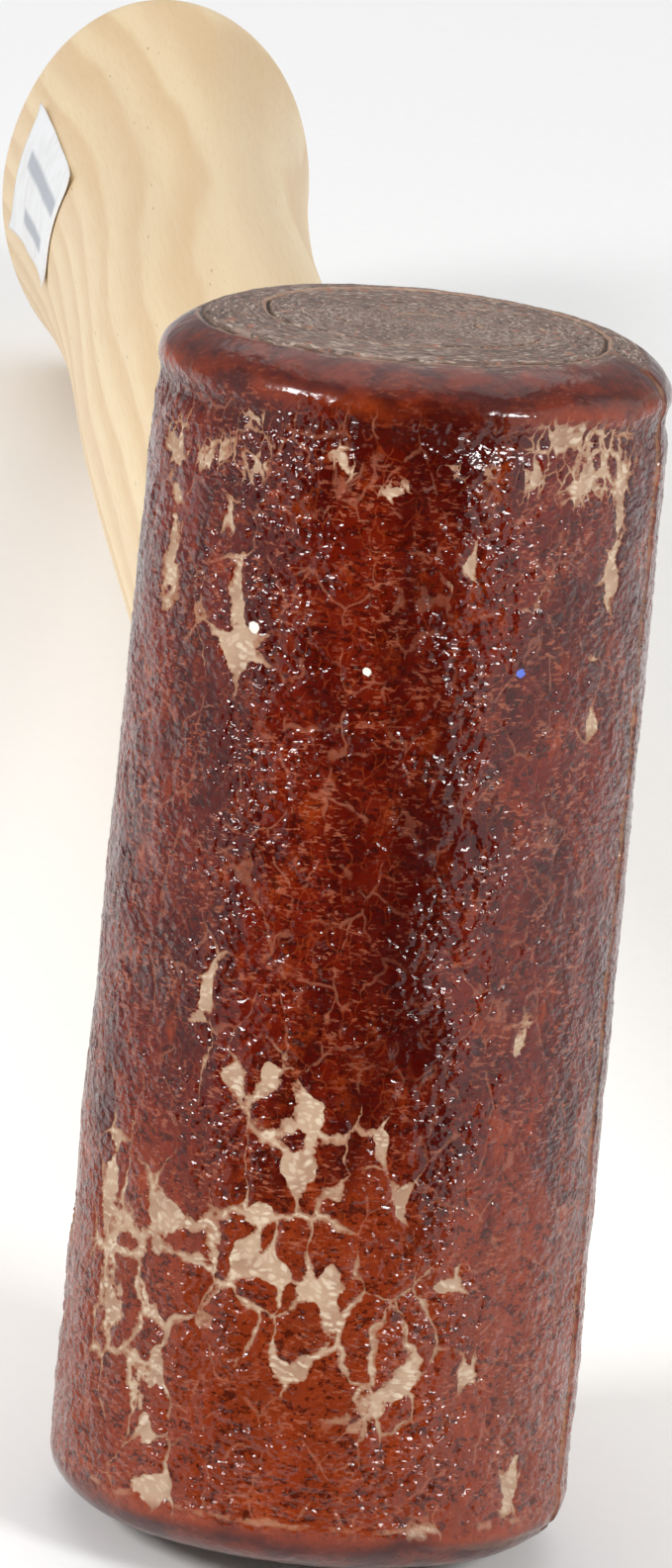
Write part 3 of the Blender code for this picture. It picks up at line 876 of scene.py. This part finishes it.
def rawhide_material():
    material, shader, n = new_material("lacquered_rawhide")
    place = place_in_mm(n)
    wear = n.add("ShaderNodeAttribute", attribute_name="wear").outputs["Fac"]
    pattern = skin_pattern(n, place, wear)
    bare, end, side = pattern["bare"], pattern["end"], pattern["side"]
    n.feed(shader.inputs["Base Color"], rawhide_colour(n, place, pattern))

    film_roughness = n.ramp(n.noise(place, 1.5, 3.0), 0.35, 0.65, 0.05, 0.18)
    off_rim = n.smooth(pattern["below_face"], 2.2, 3.8)
    film_roughness = n.blend(off_rim, RIM_ROUGHNESS, film_roughness)
    roughness = n.blend(bare, film_roughness, HIDE_ROUGHNESS)
    n.feed(shader.inputs["Roughness"], n.blend(end, roughness, CUT_ROUGHNESS))
    shader.inputs["IOR"].default_value = 1.45

    lively = n.smooth(n.noise(place, 5.0, 2.0), 0.38, 0.62)
    pebbles = n.noise(n.scaled(place, 1, 1, 1.5), 0.80, 1.2, 0.4)
    bumps = n.product(pebbles, n.ramp(lively, 0, 1, 0.18, 0.44))
    strength = n.blend(n.math("MAXIMUM", bare, end), n.ramp(side, 0, 1, 0.15, 1.0), 0.35)
    add_bump(n, shader, bumps, strength)
    return material


# Ash handle


def tenon_half_width(distance):
    mouth, mouth_half_width, _ = HANDLE_STATIONS[0]
    share = (distance - TENON_END) / (mouth - TENON_END)
    return TENON_END_HALF_WIDTH + share * (mouth_half_width - TENON_END_HALF_WIDTH)


def handle_half_width(distance):
    """Half width of the handle: straight in the socket, then a cubic through the stations."""
    if distance <= HANDLE_STATIONS[0][0]:
        return tenon_half_width(distance)
    for before, after in zip(HANDLE_STATIONS, HANDLE_STATIONS[1:]):
        if distance <= after[0]:
            break
    span = after[0] - before[0]
    t = (distance - before[0]) / span
    blend = t * t * (3 - 2 * t)
    lead_in = span * before[2] * t * (1 - t) ** 2
    lead_out = span * after[2] * t * t * (t - 1)
    return before[1] + (after[1] - before[1]) * blend + lead_in + lead_out


def oval_ratio(distance):
    share = min(max(distance / HANDLE_STATIONS[-1][0], 0.0), 1.0)
    return OVAL_AT_HEAD + (OVAL_AT_BUTT - OVAL_AT_HEAD) * share


def oval_section(half_width, distance, angles):
    """A ring of the handle, which runs along +Y. It turns from +X to +Z."""
    height = half_width * oval_ratio(distance)
    return np.stack([half_width * np.cos(angles), np.full(len(angles), distance), height * np.sin(angles)], 1)


def socket_mesh():
    """The blind oval hole in the head's back, which the tenon fills."""
    mouth = HEAD_FOOT_RADIUS + SOCKET_SPARE
    rings = []
    for distance in (SOCKET_BOTTOM, mouth):
        rings.append((tenon_half_width(distance) + GAP, distance, 128))

    def section(half_width, distance, angles):
        height = half_width * OVAL_AT_HEAD
        flat = np.full(len(angles), distance)
        return np.stack([half_width * np.cos(angles), flat, height * np.sin(angles)], 1)

    return stacked_mesh("socket", rings, section)


def handle_rings():
    rings = []
    for share in (0.25, 0.5, 0.75, 0.97):
        rings.append((TENON_END_HALF_WIDTH * share, TENON_END, HANDLE_COLUMNS))
    butt = HANDLE_STATIONS[-1][0]
    steps = int((butt - TENON_END) / HANDLE_STEP)
    for distance in np.linspace(TENON_END + GAP, butt, steps):
        rings.append((handle_half_width(distance), distance, HANDLE_COLUMNS))
    for i in range(1, DOME_RINGS):
        angle = math.pi / 2 * i / DOME_RINGS
        half_width = HANDLE_STATIONS[-1][1] * math.cos(angle) ** BUTT_SQUARENESS
        rings.append((half_width, butt + BUTT_DOME * math.sin(angle) ** BUTT_SQUARENESS, HANDLE_COLUMNS))
    rings.append((0.0004, butt + BUTT_DOME, HANDLE_COLUMNS // 2))
    return rings


def kerf_mesh():
    """The saw cut in the tenon that holds the fox wedge."""
    near = TENON_END - KERF_MARGIN
    far = TENON_END + WEDGE_LENGTH + KERF_SPARE
    half_near = WEDGE_BASE / 2 + GAP
    half_far = WEDGE_TIP / 2 + GAP
    wide = 2 * TENON_END_HALF_WIDTH
    outline = ((near, half_near), (far, half_far), (far, -half_far), (near, -half_near))
    points = [(side * wide, y, z) for side in (-1, 1) for y, z in outline]
    faces = [(0, 1, 2, 3), (7, 6, 5, 4)]
    for i in range(4):
        j = (i + 1) % 4
        faces.append((i, i + 4, j + 4, j))
    mesh = bpy.data.meshes.new("kerf")
    mesh.from_pydata(points, [], faces)
    return mesh


def soften_handle(mesh):
    """Takes the machine-made evenness off the handle, as sanding by hand does."""
    co = np.empty(len(mesh.vertices) * 3, np.float32)
    mesh.vertices.foreach_get("co", co)
    co = co.reshape(-1, 3)
    distance = co[:, 1]
    outside = np.clip((distance - SOFT_FROM) / SOFT_RUN_IN, 0, 1)
    angle = np.arctan2(co[:, 2], co[:, 0])
    wave = np.sin(3 * angle + 31 * distance) + np.sin(5 * angle - 47 * distance + 1.0)
    swell = 1 + SOFT_SHARE * wave * outside
    co[:, 0] *= swell
    co[:, 2] *= swell
    mesh.vertices.foreach_set("co", co.ravel())


def make_ash_handle():
    mesh = stacked_mesh("ash_handle", handle_rings(), oval_section)
    handle = add_piece("ash_handle", mesh)
    cut(handle, kerf_mesh())
    soften_handle(handle.data)
    handle.data.materials.append(ash_material())
    return handle


ASH_EARLY_WOOD = rgb(0.86, 0.675, 0.42)
ASH_LATE_WOOD = rgb(0.76, 0.545, 0.305)
ASH_STREAK = rgb(0.77, 0.56, 0.35)
ASH_FIBRE = rgb(0.64, 0.44, 0.24)
ASH_PORE = rgb(0.42, 0.26, 0.13)
GLUE_BROWN = rgb(0.20, 0.085, 0.035)
GROWTH_RING = 3.4  # mm
PITH_ASIDE, PITH_BELOW = 7.0, 26.0  # where the rings' centre is at the head's axis, in mm


def ash_material():
    """Pale ash: growth rings cut at a slant, long pores and fine fibres, under a thin sealer."""
    material, shader, n = new_material("sealed_ash")
    place = place_in_mm(n)
    swayed = n.warped(n.scaled(place, 1, 0.10, 1), 9.0, 2.2)
    axes = n.add("ShaderNodeSeparateXYZ", {0: swayed}).outputs
    across = n.total(axes[0], PITH_ASIDE, n.product(axes[1], 0.16))
    deep = n.total(axes[2], PITH_BELOW, n.product(axes[1], -0.22))
    ring_place = n.add("ShaderNodeCombineXYZ", {0: across, 1: 0.0, 2: deep}).outputs[0]
    distance = n.vector("LENGTH", ring_place)
    ring = n.math("FRACT", n.product(distance, 1 / GROWTH_RING))
    late = n.product(n.smooth(ring, 0.10, 0.80), n.smooth(ring, 1.0, 0.82))
    broad = n.noise(n.scaled(place, 1, 0.05, 1), 6.0, 2.0)
    fibre = n.noise(n.scaled(place, 1, 0.03, 1), 0.28, 4.0, 0.65)
    colour = n.mix(late, ASH_EARLY_WOOD, ASH_LATE_WOOD)
    colour = n.mix(n.product(n.smooth(broad, 0.42, 0.66), 0.45), colour, ASH_STREAK)
    colour = n.mix(n.product(n.smooth(fibre, 0.45, 0.75), 0.22), colour, ASH_FIBRE)
    pores = n.dots(n.scaled(place, 1, 0.09, 1), 0.75, 0.11)
    early = n.product(n.smooth(ring, 0.30, 0.02), pores)
    colour = n.mix(n.product(early, 0.55), colour, ASH_PORE)
    along = n.add("ShaderNodeSeparateXYZ", {0: place}).outputs[1]
    glue = n.smooth(n.total(along, n.product(n.noise(place, 1.5), 1.6)), 22.6, 21.2)
    colour = n.mix(n.product(glue, 0.8), colour, GLUE_BROWN)
    n.feed(shader.inputs["Base Color"], colour)
    n.feed(shader.inputs["Roughness"], n.ramp(fibre, 0.3, 0.7, 0.38, 0.52))
    shader.inputs["IOR"].default_value = 1.42
    bumps = n.total(n.product(fibre, 0.012), n.product(early, -0.05), n.product(late, 0.01))
    add_bump(n, shader, bumps)
    return material


# Fox wedge and label


def wedge_material():
    """Sawn hardwood for the wedge, which is out of sight in the tenon."""
    material, shader, n = new_material("sawn_hardwood")
    place = place_in_mm(n)
    fibre = n.noise(n.scaled(place, 1, 0.08, 1), 0.5, 4.0, 0.6)
    marks = n.noise(n.scaled(place, 0.15, 1, 0.15), 0.7, 2.0)
    colour = n.mix(n.smooth(fibre, 0.3, 0.7), rgb(0.36, 0.21, 0.10), rgb(0.25, 0.13, 0.06))
    n.feed(shader.inputs["Base Color"], colour)
    n.feed(shader.inputs["Roughness"], n.ramp(fibre, 0.3, 0.7, 0.6, 0.8))
    add_bump(n, shader, n.total(n.product(fibre, 0.03), n.product(marks, 0.04)))
    return material


def label_point(u, v, lift):
    """A point of the label, from its share along the handle and its share round it."""
    distance = LABEL_START + (LABEL_END - LABEL_START) * u
    angle = LABEL_FROM + (LABEL_TO - LABEL_FROM) * v
    half_width = handle_half_width(distance)
    corner = (abs(2 * u - 1) ** 6) * (abs(2 * v - 1) ** 6)
    rise = lift + LABEL_CURL * corner + LABEL_WAVE * math.sin(17 * u + 5 * v)
    return (
        (half_width + rise) * math.cos(angle),
        distance,
        (half_width * oval_ratio(distance) + rise) * math.sin(angle),
    )


def make_label():
    """A blank paper label, a little lifted at its corners."""
    columns, rows = LABEL_COLUMNS, LABEL_ROWS
    points = []
    faces = []
    for i in range(columns + 1):
        for j in range(rows + 1):
            points.append(label_point(i / columns, j / rows, LABEL_LIFT))
    for i in range(columns):
        for j in range(rows):
            a = i * (rows + 1) + j
            faces.append((a, a + 1, a + rows + 2, a + rows + 1))
    mesh = bpy.data.meshes.new("paper_label")
    mesh.from_pydata(points, [], faces)
    layer = mesh.uv_layers.new(name="label")
    for loop in mesh.loops:
        i, j = divmod(loop.vertex_index, rows + 1)
        layer.data[loop.index].uv = (i / columns, j / rows)
    mesh.shade_smooth()
    label = add_piece("paper_label", mesh)
    thicken = label.modifiers.new("thickness", "SOLIDIFY")
    thicken.thickness = LABEL_THICKNESS
    thicken.offset = 1.0
    apply_modifiers(label)
    label.data.materials.append(label_material())
    return label


def bar(n, u, v, from_u, to_u, from_v, to_v):
    """A soft-edged bar across part of the label."""
    soft = 0.03
    along = n.product(n.smooth(u, from_u - soft, from_u + soft), n.smooth(u, to_u + soft, to_u - soft))
    across = n.product(n.smooth(v, from_v - soft, from_v + soft), n.smooth(v, to_v + soft, to_v - soft))
    return n.product(along, across)


def label_material():
    """Matte paper with two plain grey bars where a label has its print."""
    material, shader, n = new_material("printed_paper")
    layer = n.add("ShaderNodeUVMap", uv_map="label").outputs[0]
    axes = n.add("ShaderNodeSeparateXYZ", {0: layer}).outputs
    place = place_in_mm(n)
    fuzz = n.noise(place, 0.25, 4.0, 0.7)
    colour = n.mix(n.smooth(n.noise(place, 3.0), 0.4, 0.7), rgb(0.86, 0.87, 0.88), rgb(0.80, 0.80, 0.80))
    for edges in LABEL_BARS:
        grey = n.product(bar(n, axes[0], axes[1], *edges), 0.75)
        colour = n.mix(grey, colour, rgb(0.33, 0.36, 0.42))
    n.feed(shader.inputs["Base Color"], colour)
    n.feed(shader.inputs["Roughness"], n.ramp(fuzz, 0.3, 0.7, 0.55, 0.72))
    add_bump(n, shader, n.product(fuzz, 0.015))
    return material


# Floor, light and camera


def make_floor():
    """A pale bench, as plain as a sheet of paper."""
    bpy.ops.mesh.primitive_plane_add(size=FLOOR_SIZE)
    floor = bpy.context.object
    floor.name = "floor"
    material, shader, n = new_material("pale_floor")
    place = place_in_mm(n)
    fuzz = n.noise(place, 1.5, 3.0)
    n.feed(shader.inputs["Base Color"], n.mix(fuzz, rgb(0.90, 0.90, 0.90), rgb(0.93, 0.93, 0.93)))
    n.feed(shader.inputs["Roughness"], n.ramp(fuzz, 0.3, 0.7, 0.80, 0.90))
    shader.inputs["Specular IOR Level"].default_value = 0.0
    floor.data.materials.append(material)
    floor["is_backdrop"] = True


def direction(azimuth, elevation):
    """Unit vector from the object towards a place at this azimuth (0 in front) and elevation."""
    a, e = math.radians(azimuth), math.radians(elevation)
    return Vector((math.sin(a) * math.cos(e), -math.cos(a) * math.cos(e), math.sin(e)))


def add_soft_box(name, azimuth, elevation, distance, width, height, power):
    light = bpy.data.lights.new(name, "AREA")
    light.shape = "RECTANGLE"
    light.size = width
    light.size_y = height
    light.energy = power
    box = bpy.data.objects.new(name, light)
    bpy.context.scene.collection.objects.link(box)
    back = direction(azimuth, elevation)
    box.location = HEAD_FRAME.translation + back * distance
    box.rotation_euler = back.to_track_quat("Z", "Y").to_euler()


def add_world(strength):
    world = bpy.data.worlds.new("studio")
    world.use_nodes = True
    background = world.node_tree.nodes["Background"]
    background.inputs["Color"].default_value = rgb(1.0, 1.0, 1.0)
    background.inputs["Strength"].default_value = strength
    bpy.context.scene.world = world


def add_card(name, from_azimuth, to_azimuth, outline, glow):
    """A curved card on the bench, out of the camera's sight, that only gloss reflects."""
    points = []
    faces = []
    for i in range(CARD_COLUMNS + 1):
        angle = math.radians(from_azimuth + (to_azimuth - from_azimuth) * i / CARD_COLUMNS)
        for reach, height in outline:
            points.append((reach * math.sin(angle), -reach * math.cos(angle), height))
    rows = len(outline)
    for i in range(CARD_COLUMNS):
        for j in range(rows - 1):
            a = i * rows + j
            faces.append((a, a + 1, a + rows + 1, a + rows))
    mesh = bpy.data.meshes.new(name)
    mesh.from_pydata(points, [], faces)
    card = add_piece(name, mesh, Matrix.Translation((0.0, HEAD_FRAME.translation.y, 0.0)))
    material, shader, _ = new_material(name)
    shader.inputs["Base Color"].default_value = rgb(0.01, 0.01, 0.01)
    shader.inputs["Roughness"].default_value = 1.0
    shader.inputs["Emission Color"].default_value = rgb(1.0, 1.0, 1.0)
    shader.inputs["Emission Strength"].default_value = glow
    mesh.materials.append(material)
    for ray in ("camera", "diffuse", "shadow", "transmission", "volume_scatter"):
        setattr(card, "visible_" + ray, False)
    card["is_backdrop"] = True


def light_studio():
    add_world(WORLD_STRENGTH)
    for card in CARDS:
        add_card(*card)
    for box in SOFT_BOXES:
        add_soft_box(*box)
    bpy.context.scene.view_settings.view_transform = "Standard"


def make_camera():
    camera_data = bpy.data.cameras.new("camera")
    camera_data.sensor_width = SENSOR
    camera_data.lens = VIEW_LENS
    camera_data.clip_end = FAR_CLIP
    camera = bpy.data.objects.new("camera", camera_data)
    bpy.context.scene.collection.objects.link(camera)
    back = direction(VIEW_AZIMUTH, VIEW_ELEVATION)
    level = Vector((0.0, 0.0, 1.0)).cross(back).normalized()
    roll = math.radians(VIEW_ROLL)
    right = level * math.cos(roll) + back.cross(level) * math.sin(roll)
    up = back.cross(right)
    aim = HEAD_FRAME.translation + right * AIM_RIGHT + up * AIM_UP
    matrix = Matrix((right, up, back)).transposed().to_4x4()
    matrix.translation = aim + back * VIEW_DISTANCE
    camera.matrix_world = matrix
    bpy.context.scene.camera = camera


def main():
    make_camera()
    light_studio()
    make_floor()
    pieces = (
        (make_rawhide_head(), "rawhide_coil", "rawhide"),
        (make_ash_handle(), "handle", "ash"),
        (make_label(), "price_label", "paper"),
    )
    for piece, node, slot in pieces:
        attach(piece, "root")
        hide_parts(node)
    wedge = frame["nodes"]["fox_wedge"]
    wedge.data.materials.clear()
    wedge.data.materials.append(wedge_material())


main()

sizes = {"cad_box": CAD_BOX, "visual_box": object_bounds()}
{name: [list(corner) for corner in box] for name, box in sizes.items()}
